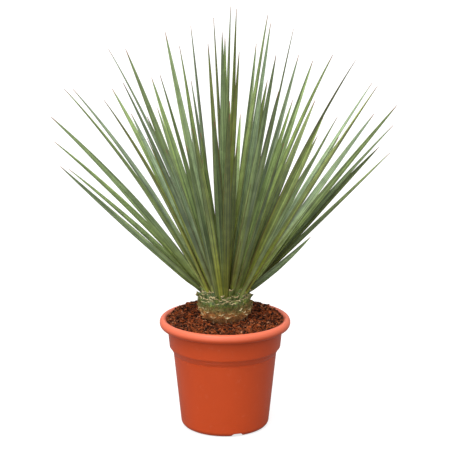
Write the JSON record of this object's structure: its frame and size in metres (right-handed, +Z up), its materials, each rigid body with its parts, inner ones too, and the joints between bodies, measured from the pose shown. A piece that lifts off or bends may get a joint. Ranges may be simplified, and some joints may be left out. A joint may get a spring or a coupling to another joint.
{
  "type": "potted nolina",
  "caption": "Stiff rosette of narrow channelled leaves on a short scaly stem, standing in soil in a round plastic grower's pot with a rolled rim.",
  "frame": {"origin": "centre of the part's bounding box in plan, which is the pot's axis, on the surface that the pot stands on", "axes": "+Z up along the pot's axis; -Y is the front, the side the picture shows; +X is to its right"},
  "size_m": [0.6239, 0.5704, 0.77],
  "materials": {
    "pot": "moulded plastic in terracotta colour, dull satin",
    "soil": "damp peat and bark potting mix, crumbly and dull",
    "trunk": "dry fibrous old leaf bases with pale cut ends",
    "leaf_head": "tough grey-green leaf with fine lengthwise veins, soft waxy sheen"
  },
  "bodies": {
    "root": {"pot": "pot", "soil": "soil", "trunk": "trunk", "leaf_head": "leaf_head"}
  },
  "joints": []
}
